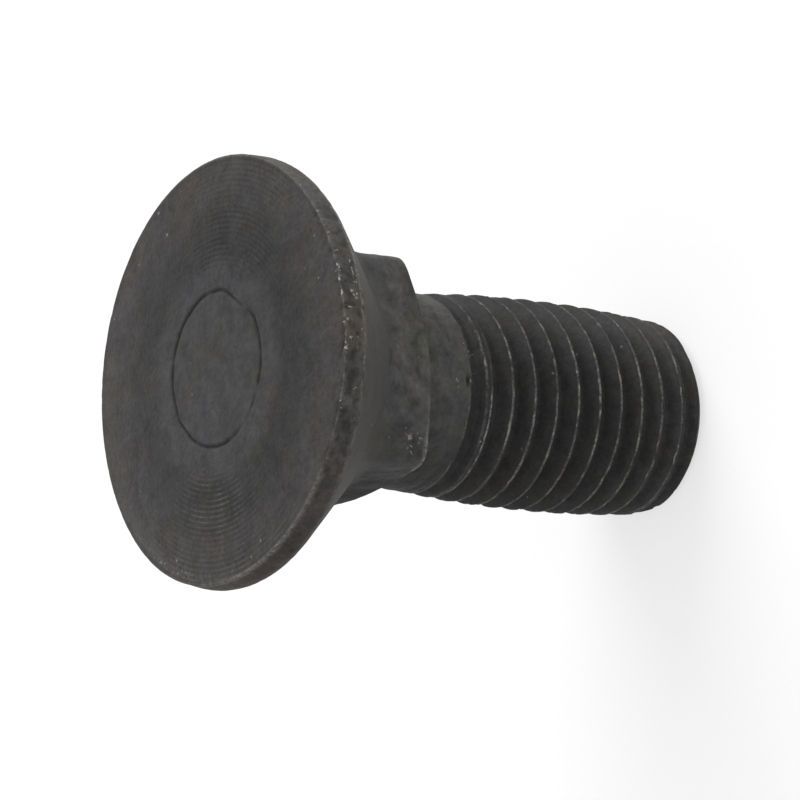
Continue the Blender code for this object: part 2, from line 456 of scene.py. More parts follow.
def forged_blank():
    """The head, neck and shank: a round blank whose every angle then gets its own section."""
    bm = bmesh.new()
    section = head_section(NECK_HALF, corner_slope(0))
    row_layer = spin_profile(bm, section, 0, math.tau, HEAD_SPIN_STEPS)
    sections = {}
    for vert in bm.verts:
        angle = math.atan2(vert.co.y, vert.co.x)
        key = round(angle, 4)
        if key not in sections:
            sections[key] = head_section(square_side(angle), corner_slope(angle))
        r, z = sections[key][vert[row_layer]]
        r = uneven_head(r, z, angle)
        vert.co = Vector((r * math.cos(angle), r * math.sin(angle), z))
    return bm


bolt = forged_blank()
print("forged part:", len(bolt.faces), "faces")

# %% [markdown]
# The rim is the part that gets knocked most, and its pits are well under a millimetre wide. So only
# the edges that run round the rim are cut in three. The new vertices are then pushed out onto the
# circle, because a cut leaves them on the straight edge.

# %% Finer rim
RIM_CUTS = 2
RIM_FINE_REACH = 1.0 * MM
ON_A_STEP = 0.01


def refine_rim(bm):
    """Cuts the rim's ring edges, and pushes each new vertex out onto the circle."""
    low = RIM_BACK_Z - RIM_FINE_REACH
    inner = HEAD_RADIUS - RIM_FINE_REACH
    ring_edges = []
    for edge in bm.edges:
        a, b = (vert.co for vert in edge.verts)
        level = abs(a.z - b.z) < WELD
        on_rim = a.z > low and a.xy.length > inner and b.xy.length > inner
        if level and on_rim and abs(a.xy.length - b.xy.length) < WELD:
            ring_edges.append(edge)
    bmesh.ops.subdivide_edges(bm, edges=ring_edges, cuts=RIM_CUTS, use_grid_fill=True)
    step = math.tau / HEAD_SPIN_STEPS
    for vert in bm.verts:
        angle = math.atan2(vert.co.y, vert.co.x)
        off = abs(angle / step - round(angle / step))
        if off > ON_A_STEP and vert.co.xy.length > inner * math.cos(step / 2) and vert.co.z > low:
            grow = math.cos((0.5 - off) * step) / math.cos(step / 2)
            vert.co.x *= grow
            vert.co.y *= grow


refine_rim(bolt)
print("with the finer rim:", len(bolt.faces), "faces")

# %% [markdown]
# A rolled thread is the same short profile, root to root, wound up a helix. Spin takes a step along
# the axis with each turn step, and that makes the helix. Its crests and roots are rounded, as the
# rolls leave them. The turns are then cut level at both ends, and every vertex is held inside a
# shape that the crests may fill: a slight barrel, the chamfer of the point and the run-out.

# %% Profile of the thread
THREAD_RADIUS = 12.7 * MM
PITCH = 3.175 * MM
THREAD_DEPTH = 0.6134 * PITCH
ROOT_RADIUS = THREAD_RADIUS - THREAD_DEPTH
CREST_ROUNDING = 0.108 * PITCH
ROOT_FILLET = 0.144 * PITCH
FLANK_ANGLE = math.radians(30)
CREST_BEND_STEPS = 6
ROOT_BEND_STEPS = 2
FLANK_STEPS = 3


def thread_profile():
    """One pitch, root to root, as (r, height), with its crest in the middle."""
    crest_centre = THREAD_RADIUS - CREST_ROUNDING
    root_centre = ROOT_RADIUS + ROOT_FILLET
    steepest = math.pi / 2 - FLANK_ANGLE
    crest_angles = [steepest * (2 * i / CREST_BEND_STEPS - 1) for i in range(CREST_BEND_STEPS + 1)]
    crest = [
        Vector((crest_centre + CREST_ROUNDING * math.cos(a), PITCH / 2 + CREST_ROUNDING * math.sin(a)))
        for a in crest_angles
    ]
    root_angles = [steepest * i / ROOT_BEND_STEPS for i in range(ROOT_BEND_STEPS + 1)]
    root = [
        Vector((root_centre - ROOT_FILLET * math.cos(a), ROOT_FILLET * math.sin(a))) for a in root_angles
    ]
    rising = [root[-1].lerp(crest[0], i / FLANK_STEPS) for i in range(1, FLANK_STEPS)]
    lower = root + rising
    upper = [Vector((r, PITCH - height)) for r, height in reversed(lower)]
    return lower + crest + upper


print("thread:", round(THREAD_DEPTH / MM, 2), "mm deep,", len(thread_profile()), "points in its profile")


# %% Wind the thread
THREAD_SPIN_STEPS = 160
LEAD_IN_TURNS = 2
ROOT_START_ANGLE = math.radians(14.06)
RUNOUT_LENGTH = 4.4 * MM
CREST_DROP_AT_SHANK = 0.7 * MM
CREST_DROP_AT_POINT = 1.0 * MM
CREST_RISE_LENGTH = 10.5 * MM
POINT_RADIUS = 10.6 * MM
POINT_SLOPE = math.tan(math.radians(48))
POINT_SHIFT = 0.35 * MM
THREAD_TOP_Z = RUNOUT_TOP_Z - RUNOUT_LENGTH
SEAM_GAP = 0.2 * MM
THREAD_MIDDLE_Z = RUNOUT_TOP_Z / 2


def cut_level(bm, height, clear_below=False, clear_above=False):
    """Cuts a mesh level at a height, and clears what lies below or above the cut."""
    bmesh.ops.bisect_plane(
        bm, geom=bm.verts[:] + bm.edges[:] + bm.faces[:], dist=WELD, plane_co=(0, 0, height),
        plane_no=(0, 0, 1), clear_inner=clear_below, clear_outer=clear_above,
    )


def crest_reach(angle, z):
    """How far out the thread may reach. The point was chamfered a little off the axis, towards -X."""
    drop = CREST_DROP_AT_POINT if z < THREAD_MIDDLE_Z else CREST_DROP_AT_SHANK
    barrel = THREAD_RADIUS - drop * (z / THREAD_MIDDLE_Z - 1) ** 2
    point = POINT_RADIUS + z * POINT_SLOPE - POINT_SHIFT * math.cos(angle)
    rise = (THREAD_RADIUS - SHANK_RADIUS) / CREST_RISE_LENGTH
    runout = SHANK_RADIUS + rise * (RUNOUT_TOP_Z - z)
    return min(barrel, point, runout)


def blank_reach(z):
    """Radius of the blank under the thread's run-out, which rises from the root to the shank."""
    share = (z - THREAD_TOP_Z) / RUNOUT_LENGTH
    return ROOT_RADIUS + (SHANK_RADIUS - ROOT_RADIUS) * min(1, share)


def wound_turns(profile, turns):
    """One turn of the helix is spun, and the next ones are copies of it, each a pitch higher."""
    bm = bmesh.new()
    spin_profile(bm, profile, ROOT_START_ANGLE, math.tau, THREAD_SPIN_STEPS, PITCH / THREAD_SPIN_STEPS)
    one_turn = bm.verts[:] + bm.edges[:] + bm.faces[:]
    for number in range(1, turns):
        copied = bmesh.ops.duplicate(bm, geom=one_turn)["geom"]
        verts = [part for part in copied if isinstance(part, bmesh.types.BMVert)]
        bmesh.ops.translate(bm, vec=(0, 0, number * PITCH), verts=verts)
    bmesh.ops.remove_doubles(bm, verts=bm.verts, dist=WELD)
    return bm


def wound_thread():
    """The whole thread: more turns than it needs, cut level and held inside the crests' shape."""
    profile = [point - Vector((0, LEAD_IN_TURNS * PITCH)) for point in thread_profile()]
    bm = wound_turns(profile, math.ceil(SEAM_Z / PITCH) + LEAD_IN_TURNS + 1)
    cut_level(bm, 0, clear_below=True)
    cut_level(bm, SEAM_Z - SEAM_GAP, clear_above=True)
    for vert in bm.verts:
        angle = math.atan2(vert.co.y, vert.co.x)
        r = min(math.hypot(vert.co.x, vert.co.y), crest_reach(angle, vert.co.z))
        if vert.co.z > THREAD_TOP_Z:
            r = max(r, blank_reach(vert.co.z))
        vert.co.x = r * math.cos(angle)
        vert.co.y = r * math.sin(angle)
    return bm


thread = wound_thread()
print("thread:", len(thread.faces), "faces")

# %% [markdown]
# Both meshes end in a level ring on the plain shank. The thread is copied into the forged part's
# bmesh, the two rings are bridged, and the ring at the point is closed by one flat face. The result
# is a single closed skin, like the real one.

# %% Join the forged part and the thread
RING_TOLERANCE = 10 * WELD


def ring_at(bm, height):
    """The open edges that lie level at a height."""
    edges = [e for e in bm.edges if e.is_boundary]
    return [e for e in edges if all(abs(v.co.z - height) < RING_TOLERANCE for v in e.verts)]


def join_thread(bm, other):
    mesh = bpy.data.meshes.new("thread")
    other.to_mesh(mesh)
    other.free()
    bm.from_mesh(mesh)
    bpy.data.meshes.remove(mesh)
    upper = ring_at(bm, SEAM_Z)
    lower = ring_at(bm, SEAM_Z - SEAM_GAP)
    bmesh.ops.bridge_loops(bm, edges=upper + lower)
    bmesh.ops.contextual_create(bm, geom=ring_at(bm, 0))
    bmesh.ops.recalc_face_normals(bm, faces=bm.faces)
    open_edges = sum(1 for e in bm.edges if not e.is_manifold)
    print("joined:", len(bm.faces), "faces,", open_edges, "open edges")


join_thread(bolt, thread)

# %% [markdown]
# Wear is what makes a plain form look like a real, used thing. Each rule below looks at where a point
# lies and answers with four numbers: how deep the steel is dented there, how likely the oxide is to be
# chipped off, how far it is rubbed thin or lightened by painted light, and how much it is darkened by
# grime or by painted shade. Depths only ever go inwards, so the bolt keeps its size.

# %% Helpers for wear


def bumps(co, size, seed=0):
    """Smooth noise of about -1 to 1, with features of a size."""
    return noise.noise(co / size + Vector((seed, seed / 2, -seed)))


def lumps(co, size, seed, low, high):
    """Scattered soft patches: 0 between them and 1 in their middles."""
    return smoothly(low, high, bumps(co, size, seed))


# %% Wear on the face
GROOVE_CENTRE = Vector((0.2, -0.25, 0)) * MM
GROOVE_HALF_WIDTH = 0.42 * MM
GROOVE_DEPTH = 0.2 * MM
GROOVE_FLAT = 0.75 * MM
SCUFF = Vector((-8.4, -7.4, 0)) * MM
RING_SPACING = 0.625 * MM
RING_DEPTH = 0.014 * MM
RING_STRENGTH = 0.88
POLISHED_RADIUS = 20.3 * MM
FACE_UNEVENNESS = 0.04 * MM
SKIN_ROUGHNESS = 0.02 * MM


def groove_wear(co):
    """The ring pressed into the face. The tool sat unevenly, so it's weak below and broken above."""
    from_centre = co - GROOVE_CENTRE
    angle = math.atan2(from_centre.y, from_centre.x)
    flattened = near_angle(angle, -40, 30)
    weak = near_angle(angle, -140, 45)
    broken = near_angle(angle, -54, 12)
    r = GROOVE_RADIUS - GROOVE_FLAT * flattened
    r += 0.1 * MM * bumps(co, 2.5 * MM) + 0.08 * MM * bumps(co, 1.1 * MM, 7)
    strength = max(0, 1 - 0.75 * weak - broken + 0.65 * bumps(co, 1.5 * MM, 4))
    line = near(from_centre.xy.length, r, GROOVE_HALF_WIDTH) * min(1, strength)
    return GROOVE_DEPTH * line, line


def turned_mark(r, angle):
    """Where the turned rings show: in two sectors only, across the face from each other, where the light
    picks them out.
    """
    widening = 26 * smoothly(20.5 * MM, 23.5 * MM, r)
    high_sector = near_angle(angle, -19, 56)
    low_sector = near_angle(angle, 171, 46 + widening)
    polished = 0.45 * near(r, POLISHED_RADIUS, 2.2 * MM)
    starting = smoothly(11 * MM, 14 * MM, r)
    return RING_STRENGTH * starting * max(high_sector, low_sector) * (1 - polished)


def face_wear(co, r, angle):
    """The groove and the rings, a skin that isn't quite flat, and an edge rubbed where hands hold it."""
    sink, grime_and_painted_light = groove_wear(co)
    sink += FACE_UNEVENNESS * (0.5 + 0.5 * bumps(co, 5 * MM, 2))
    sink += SKIN_ROUGHNESS * (0.5 + 0.5 * bumps(co, 1.4 * MM, 3))
    sink += RING_DEPTH * turned_mark(r, angle) * (0.5 + 0.5 * math.cos(math.tau * r / RING_SPACING))
    edge = smoothly(21 * MM, 25 * MM, r)
    handled = max(near_angle(angle, 110, 100), near_angle(angle, -50, 60))
    rub_and_painted_light = edge * (0.02 + 0.035 * handled)
    scraped = edge**4 * near_angle(angle, 145, 45)
    scuffed = near((co - SCUFF).xy.length, 0, 4 * MM)
    rub_and_painted_light += 0.1 * scuffed * lumps(co, 1.5 * MM, 6, -0.4, 0.4)
    wear = 0.5 * scraped * lumps(co, 1.3 * MM, 8, -0.3, 0.4)
    return sink, wear, (rub_and_painted_light + 0.13 * scraped) * (1 + 0.6 * bumps(co, 1.8 * MM, 5)), grime_and_painted_light


# %% Wear on the rim
PIT_DEPTH = 0.16 * MM
SMALL_PIT_DEPTH = 0.1 * MM
CHIP_DEPTH = 0.2 * MM


def rim_wear(co, r, angle):
    """Soft pits all over the band, and chips along its front edge, most of them towards -Y. Painted
    shade darkens the band towards -X.
    """
    battered = near_angle(angle, -106, 78)
    chipped = near_angle(angle, -82, 66)
    front_rubbed = near_angle(angle, -163, 48)
    back_rubbed = near_angle(angle, -60, 55)
    # Painted shade on the rim's -X side, behind its front edge.
    shaded_side = near_angle(angle, -172, 60)
    pit = lumps(co, 1.3 * MM, 9, 0.0, 0.5) * (0.15 + 0.85 * battered)
    small_pit = lumps(co, 0.7 * MM, 11, 0.1, 0.5) * (0.15 + 0.85 * battered)
    edge_way = math.hypot(uneven_head(HEAD_RADIUS, FACE_EDGE_Z, angle) - r, co.z - FACE_EDGE_Z)
    front = near(edge_way, 0, 0.75 * MM)
    clusters = 0.35 + 0.65 * lumps(co, 3.5 * MM, 16, -0.35, 0.15)
    chip = front * lumps(co, 0.9 * MM, 10, 0.0, 0.5) * chipped * clusters
    back = near(co.z, RIM_BACK_Z + 0.1 * MM, 0.5 * MM)
    sink = PIT_DEPTH * pit + SMALL_PIT_DEPTH * small_pit + CHIP_DEPTH * chip
    wear = front * (0.1 + 0.62 * chipped) * lumps(co, 1.7 * MM, 12, -0.1, 0.4)
    wear = max(wear, 0.53 * chipped * lumps(co, 1.0 * MM, 14, 0.12, 0.5))
    rub_and_painted_light = front * (0.05 + 0.3 * front_rubbed) + back * (0.12 + 0.3 * back_rubbed)
    rub_and_painted_light += 0.07 * battered * lumps(co, 1.4 * MM, 15, -0.2, 0.5)
    rub_and_painted_light *= 1 + 0.5 * bumps(co, 1.5 * MM, 13)
    grime_and_painted_light = max(0.8 * pit, 0.8 * small_pit, 0.5 * (1 - front) * shaded_side)
    return sink, wear, rub_and_painted_light, grime_and_painted_light


# %% Wear on the neck and shank
CORNER_BRUISE = Vector((-9.8, -12.7, 44.6)) * MM
CORNER_STAR = Vector((-9.8, -12.7, 45.3)) * MM
FLAT_DENT = Vector((-2.0, -12.8, 43.6)) * MM
SCALE_DEPTH = 0.12 * MM
FINE_SCALE_DEPTH = 0.07 * MM
BRUISE_DEPTH = 0.3 * MM
DENT_DEPTH = 0.12 * MM


def bruise(co, centre, size, seed):
    """A rough patch round a place: how deep it is, and how bright."""
    patch = near((co - centre).length, 0, size)
    return patch * lumps(co, 0.9 * MM, seed, -0.4, 0.5), patch * lumps(co, 0.7 * MM, seed + 1, -0.2, 0.5)


def end_edge(co, r, angle):
    """1 along the edge where the full corner of the neck ends."""
    side = square_side(angle)
    edge_z = NECK_END_Z + (side - NECK_HALF + NECK_END_INSET) * corner_slope(angle)
    return near(co.z, edge_z, 0.8 * MM) * near(r, side, 1.2 * MM) * near_angle(angle, FULL_CORNER, 30)


def painted_shade_side(co, angle):
    """Painted shade: darkens the -X side of the neck and shank, a little less below the neck, fading out
    over the cone.
    """
    lower = 0.75 + 0.25 * smoothly(NECK_END_Z - 1 * MM, NECK_END_Z, co.z)
    return lower * near_angle(angle, 175, 85) * (1 - smoothly(CONE_END_Z, RIM_BACK_Z, co.z))


def flank_wear(co, r, angle):
    """Forging scale on the neck and shank and two bruised spots, with painted shade in the throat and on
    the -X side, and painted light on the cone's lit side.
    """
    forged = 1 - smoothly(CONE_END_Z, CONE_END_Z + 5 * MM, co.z)
    sink = forged * SCALE_DEPTH * lumps(co, 3.0 * MM, 16, -0.5, 0.6)
    sink += (0.3 + 0.7 * forged) * FINE_SCALE_DEPTH * lumps(co, 1.2 * MM, 18, -0.5, 0.6)
    corner, corner_bright = bruise(co, CORNER_BRUISE, 3.2 * MM, 20)
    dent, dent_bright = bruise(co, FLAT_DENT, 2.8 * MM, 22)
    sink += BRUISE_DEPTH * corner + DENT_DEPTH * dent
    star = near((co - CORNER_STAR).length, 0, 1.0 * MM) * lumps(co, 0.6 * MM, 19, -0.6, 0.1)
    wear = max(0.95 * star, 0.75 * corner_bright + 0.3 * dent_bright)
    ragged = 0.25 + 0.75 * lumps(co, 1.1 * MM, 25, -0.3, 0.3)
    rub_and_painted_light = 0.8 * ragged * end_edge(co, r, angle) + 0.25 * corner_bright + 0.12 * dent_bright
    # Painted light: the cone below the rim is lightened on the side towards -52 degrees.
    under_rim = smoothly(RIM_BACK_Z - 8 * MM, RIM_BACK_Z, co.z)
    rub_and_painted_light += 0.3 * under_rim * near_angle(angle, -52, 36)
    # Painted shade in the throat under the head, spared on the side towards -40 degrees.
    throat = smoothly(CONE_END_Z - 2 * MM, CONE_END_Z + 1 * MM, co.z) * (1 - near_angle(angle, -40, 60))
    stain = near((co - CORNER_STAR).length, 0, 5.5 * MM) * lumps(co, 1.3 * MM, 21, -0.5, 0.2)
    return sink, wear, rub_and_painted_light, max(0.4 * dent, painted_shade_side(co, angle), 0.25 * throat, 0.6 * stain)


# %% Wear on the thread
SHANK_PIT = Vector((-1.75, -11.67, 35.3)) * MM
PIT_LIP_SHIFT = Vector((0, 0, 0.4)) * MM
THREAD_STAIN_Z = 34.7 * MM
NICK_DEPTH = 0.13 * MM
ROLLED_DEPTH = 0.03 * MM
SHANK_PIT_DEPTH = 0.3 * MM


def stretched(offset):
    """How far away a place is, when a mark is longer round the shank than along it."""
    return Vector((offset.x, offset.y, 2.2 * offset.z)).length


def thread_wear(co, r, angle):
    """Crests are nicked and rubbed bright. Painted fill light lightens the roots, and painted shade
    darkens the shank above the thread on its -X side.
    """
    high = crest_reach(angle, co.z)
    crest = near(high - r, 0, 0.25 * MM)
    nick = crest * lumps(co, 0.9 * MM, 26, 0.1, 0.6)
    pit = near(stretched(co - SHANK_PIT), 0, 1.1 * MM)
    pit_lip = near(stretched(co - SHANK_PIT + PIT_LIP_SHIFT), 0, 1.0 * MM)
    sink = NICK_DEPTH * nick + ROLLED_DEPTH * lumps(co, 1.3 * MM, 28, -0.5, 0.6) + SHANK_PIT_DEPTH * pit
    fade_start = THREAD_TOP_Z + (1.0 - 3.0 * near_angle(angle, -30, 60)) * MM
    fade = 1 - smoothly(fade_start, RUNOUT_TOP_Z, co.z)
    worn_side = 0.69 + 0.36 * math.cos(2 * (angle + math.radians(104)))
    beads = 0.32 + 0.45 * bumps(co, 2.2 * MM, 30) + 0.75 * lumps(co, 0.9 * MM, 31, 0.0, 0.45)
    on_shank = smoothly(THREAD_TOP_Z + 1.0 * MM, THREAD_STAIN_Z, co.z)
    spots = 0.75 * on_shank * near_angle(angle, -95, 35) * lumps(co, 0.8 * MM, 33, 0.0, 0.5)
    root = smoothly(0.2 * MM, 1.5 * MM, high - r) * (1 - on_shank)
    grime_and_painted_light = max(root, pit, on_shank * painted_shade_side(co, angle))
    return sink, max(pit_lip, spots), fade * worn_side * beads, grime_and_painted_light


# %% Weather the whole bolt
RIM_BACK_REACH = 0.1 * MM
ZONES = ("turned_face", "pitted_rim", "forged_flank", "rolled_thread")
RULES = (face_wear, rim_wear, flank_wear, thread_wear)


def zone_of(co):
    """The number of the finish at a place: face, rim, flank or thread."""
    r = co.xy.length
    if co.z > FACE_EDGE_Z - WELD:
        return 0 if r < HEAD_RADIUS - RIM_EDGE_ROUNDING else 1
    if co.z > RIM_BACK_Z - RIM_BACK_REACH:
        return 1
    return 2 if co.z > SEAM_Z - WELD else 3


def wear_at(co):
    """A rule's answer for a place. Round the rim's edges the neighbour's rule fades into the rim's."""
    r = co.xy.length
    angle = math.atan2(co.y, co.x)
    zone = zone_of(co)
    answer = RULES[zone](co, r, angle)
    on_head = co.z > RIM_BACK_Z - 1.0 * MM and zone in (0, 2)
    share = smoothly(HEAD_RADIUS - 1.2 * MM, HEAD_RADIUS - 0.3 * MM, r) if on_head else 0
    if share == 0:
        return answer
    rim_answer = rim_wear(co, r, angle)
    return [a + (b - a) * share for a, b in zip(answer, rim_answer)]


def weather(bm):
    """Dents every vertex, and keeps the other answers on it as attributes that the materials read."""
    # The grime mark also carries painted shade, and in the thread's roots painted fill light. The rub
    # mark also carries painted light.
    names = ("wear", "rub_and_painted_light", "grime_and_painted_light", "turned")
    layers = [bm.verts.layers.float.new(name) for name in names]
    bm.normal_update()
    for face in bm.faces:
        face.material_index = zone_of(face.calc_center_median())
    results = [wear_at(vert.co) for vert in bm.verts]
    for vert, (sink, *marks) in zip(bm.verts, results):
        angle = math.atan2(vert.co.y, vert.co.x)
        marks.append(turned_mark(vert.co.xy.length, angle))
        for layer, mark in zip(layers, marks):
            vert[layer] = min(1, max(0, mark))
        if vert.co.z > WELD:
            vert.co -= vert.normal * sink
        vert.co.z = max(0, vert.co.z)
    print("deepest mark, in mm:", round(max(sink for sink, *_ in results) / MM, 2))


weather(bolt)

# %% [markdown]
# The mesh becomes one object at the origin. It rides on the root body, and the solid it stands in for is
# hidden. Its finishes are given at the end.

# %% Make the piece


def finished_piece(bm):
    piece = object_from(bm, "bolt_skin")
    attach(piece, "root")
    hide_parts("plow_bolt")
    triangles = sum(len(p.vertices) - 2 for p in piece.data.polygons)
    print("piece:", triangles, "triangles")
    return piece


bolt_skin = finished_piece(bolt)

# %% [markdown]
# Black oxide is a thin conversion layer on the steel. It is dark and nearly matt, and never one plain
# grey: it leans to blue where it is thick and to brown where oil and rust have stained it. One node
# group makes that skin for every part of the bolt. It takes a tone, and adds patches of a few
# millimetres and a fine grain.

# %% Group for the oxide's colour
COLOUR = "NodeSocketColor"
NUMBER = "NodeSocketFloat"


def new_group(name, inputs, outputs):
    """An empty shader node group with named sockets. Inputs are (name, kind, default)."""
    group = bpy.data.node_groups.new(name, "ShaderNodeTree")
    for socket, kind, default in inputs:
        made = group.interface.new_socket(name=socket, in_out="INPUT", socket_type=kind)
        made.default_value = default
    for socket, kind in outputs:
        group.interface.new_socket(name=socket, in_out="OUTPUT", socket_type=kind)
    start = group.nodes.new("NodeGroupInput")
    end = group.nodes.new("NodeGroupOutput")
    return group, start.outputs, end


def tinted(tree, colour, tint, factor):
    """A colour multiplied by a tint, as far as the factor says."""
    inputs = {"Factor": factor, 6: colour, 7: tint}
    node = add_node(tree, "ShaderNodeMix", inputs, data_type="RGBA", blend_type="MULTIPLY")
    return node.outputs[2]


def scaled(tree, colour, value):
    """A colour multiplied by a number."""
    factors = add_node(tree, "ShaderNodeCombineColor", {0: value, 1: value, 2: value}).outputs[0]
    inputs = {"Factor": 1.0, 6: colour, 7: factors}
    return add_node(tree, "ShaderNodeMix", inputs, data_type="RGBA", blend_type="MULTIPLY").outputs[2]


BLUISH = (0.95, 0.98, 1.05, 1.0)
BROWNISH = (1.07, 0.975, 0.90, 1.0)
OLIVE = (1.02, 1.04, 0.86, 1.0)
HUE_SIZE = 7 * MM
OLIVE_SIZE = 3.1 * MM
PATCH_SIZE = 2.2 * MM
GRAIN_SIZE = 0.65 * MM
PATCH_RELIEF = 0.4


def oxide_group():
    group, given, end = new_group(
        "oxide_skin",
        [
            ("Tone", COLOUR, (0.06, 0.06, 0.06, 1)),
            ("Stain", NUMBER, 0.6),
            ("Patchiness", NUMBER, 0.3),
            ("Grain", NUMBER, 0.3),
        ],
        [("Color", COLOUR), ("Height", NUMBER)],
    )
    place = object_place(group)
    hue = clouds(group, place, 1 / HUE_SIZE, 3)
    blue = product(group, remap(group, hue, 0.52, 0.36, smooth=True), given["Stain"])
    brown = product(group, remap(group, hue, 0.50, 0.66, smooth=True), given["Stain"])
    spots = clouds(group, place, 1 / OLIVE_SIZE, 2)
    olive = product(group, remap(group, spots, 0.55, 0.72, smooth=True), given["Stain"])
    colour = tinted(group, given["Tone"], BLUISH, blue)
    colour = tinted(group, colour, BROWNISH, brown)
    colour = tinted(group, colour, OLIVE, olive)
    patch = remap(group, clouds(group, place, 1 / PATCH_SIZE, 4, 0.6), 0.25, 0.75, -1, 1)
    grain = remap(group, clouds(group, place, 1 / GRAIN_SIZE, 4, 0.65), 0.25, 0.75, -1, 1)
    light = product(group, patch, given["Patchiness"])
    light = calc(group, "ADD", light, product(group, grain, given["Grain"]))
    colour = scaled(group, colour, calc(group, "ADD", light, 1.0))
    group.links.new(colour, end.inputs["Color"])
    relief = calc(group, "ADD", product(group, patch, PATCH_RELIEF), grain)
    group.links.new(relief, end.inputs["Height"])
    return group


OXIDE = oxide_group()
print("group:", OXIDE.name)

# %% [markdown]
# Where the steel is rubbed, the oxide is gone and a greyer, shinier metal shows. Where grime or painted
# shade lies, everything is darker. A second group lays both over the oxide's colour. The wear that the
# mesh carries says only how likely bare metal is, and a fine noise decides where it is, so its edges
# look scuffed and not airbrushed. Where the oxide is only rubbed thin, or where painted light or a
# painted glint falls, it lightens softly and turns a little metallic. A few lone specks come on top.

# %% Group for bare metal, grime, painted shade and painted light
SCUFF_SIZE = 0.38 * MM
SPECK_SPACING = 1.7 * MM
SPECK_BRIGHTNESS = 0.75
BARE_METALLIC = 0.35
BARE_SHINE = 0.15


def worn_group():
    group, given, end = new_group(
        "worn_metal",
        [
            ("Skin", COLOUR, (0.06, 0.06, 0.06, 1)),
            ("Bare", COLOUR, (0.3, 0.29, 0.27, 1)),
            ("Wear", NUMBER, 0.0),
            ("Rub_and_painted_light", NUMBER, 0.0),
            ("Specks", NUMBER, 0.1),
            ("Grime_and_painted_light", NUMBER, 0.0),
            ("Darkening", NUMBER, 0.5),
            ("Roughness", NUMBER, 0.55),
        ],
        [("Color", COLOUR), ("Metallic", NUMBER), ("Roughness", NUMBER)],
    )
    place = object_place(group)
    scuffs = remap(group, clouds(group, place, 1 / SCUFF_SIZE, 3, 0.6), 0.3, 0.7)
    limit = calc(group, "SUBTRACT", 1.05, product(group, given["Wear"], 0.95))
    rubbed = remap(group, calc(group, "SUBTRACT", scuffs, limit), 0.0, 0.16, smooth=True)
    cells = {"Vector": place, "Scale": 1 / SPECK_SPACING}
    cell = add_node(group, "ShaderNodeTexVoronoi", cells).outputs
    chance = add_node(group, "ShaderNodeSeparateColor", {0: cell["Color"]}).outputs
    chosen = calc(group, "LESS_THAN", chance[0], given["Specks"])
    size = remap(group, chance[1], 0, 1, 0.05, 0.16)
    dot = remap(group, calc(group, "DIVIDE", cell["Distance"], size), 1.0, 0.6, smooth=True)
    speck = product(group, dot, product(group, chosen, chance[2]), SPECK_BRIGHTNESS)
    rubbed = calc(group, "MAXIMUM", rubbed, speck)
    thin = product(group, given["Rub_and_painted_light"], remap(group, scuffs, 0.2, 0.9, 0.3, 1.7))
    rubbed = calc(group, "MAXIMUM", rubbed, thin)
    dulled = calc(group, "SUBTRACT", 1.0, product(group, given["Grime_and_painted_light"], given["Darkening"]))
    colour = blend(group, rubbed, scaled(group, given["Skin"], dulled), given["Bare"])
    group.links.new(colour, end.inputs["Color"])
    group.links.new(product(group, rubbed, BARE_METALLIC), end.inputs["Metallic"])
    shine = product(group, rubbed, -BARE_SHINE)
    group.links.new(calc(group, "ADD", given["Roughness"], shine), end.inputs["Roughness"])
    return group


WORN = worn_group()
print("group:", WORN.name)

# %% Helpers for the steel's materials
SPECULAR = 0.14


def attribute(tree, name):
    return add_node(tree, "ShaderNodeAttribute", attribute_name=name).outputs["Fac"]


def group_node(tree, group, inputs):
    return add_node(tree, "ShaderNodeGroup", inputs, node_tree=group).outputs


def steel(tree, tone, skin, wear, relief):
    """Joins the two groups and feeds the shader. What is the same everywhere is set on its sockets."""
    oxide = group_node(tree, OXIDE, {"Tone": tone, **skin})
    marks = {mark.capitalize(): attribute(tree, mark) for mark in ("wear", "rub_and_painted_light", "grime_and_painted_light")}
    wear = {**marks, **wear}
    worn = group_node(tree, WORN, {"Skin": oxide["Color"], **wear})
    bump = {"Height": oxide["Height"], "Strength": 1.0, "Distance": relief}
    inputs = {
        "Base Color": worn["Color"],
        "Metallic": worn["Metallic"],
        "Roughness": worn["Roughness"],
        "Specular IOR Level": SPECULAR,
        "Normal": add_node(tree, "ShaderNodeBump", bump).outputs[0],
    }
    shader = add_node(tree, "ShaderNodeBsdfPrincipled", inputs)
    add_node(tree, "ShaderNodeOutputMaterial", {"Surface": shader.outputs[0]})


# %% [markdown]
# The face was turned flat on a lathe before it was blackened. A fine ridge is left every turn of the
# tool. The rings are drawn in two sectors only, where the light picks them out, so their dark furrows
# are partly real tool marks and partly painted shade. The mesh carries where the rings show, and the
# material draws them from the distance to the axis: dark in the furrows, and on the -X side bright on
# the ridges, a painted glint.

# %% Material for the face
FACE_TONE = (0.0404, 0.0399, 0.0404, 1.0)
FACE_EDGE_TINT = (1.06, 0.98, 0.94, 1.0)


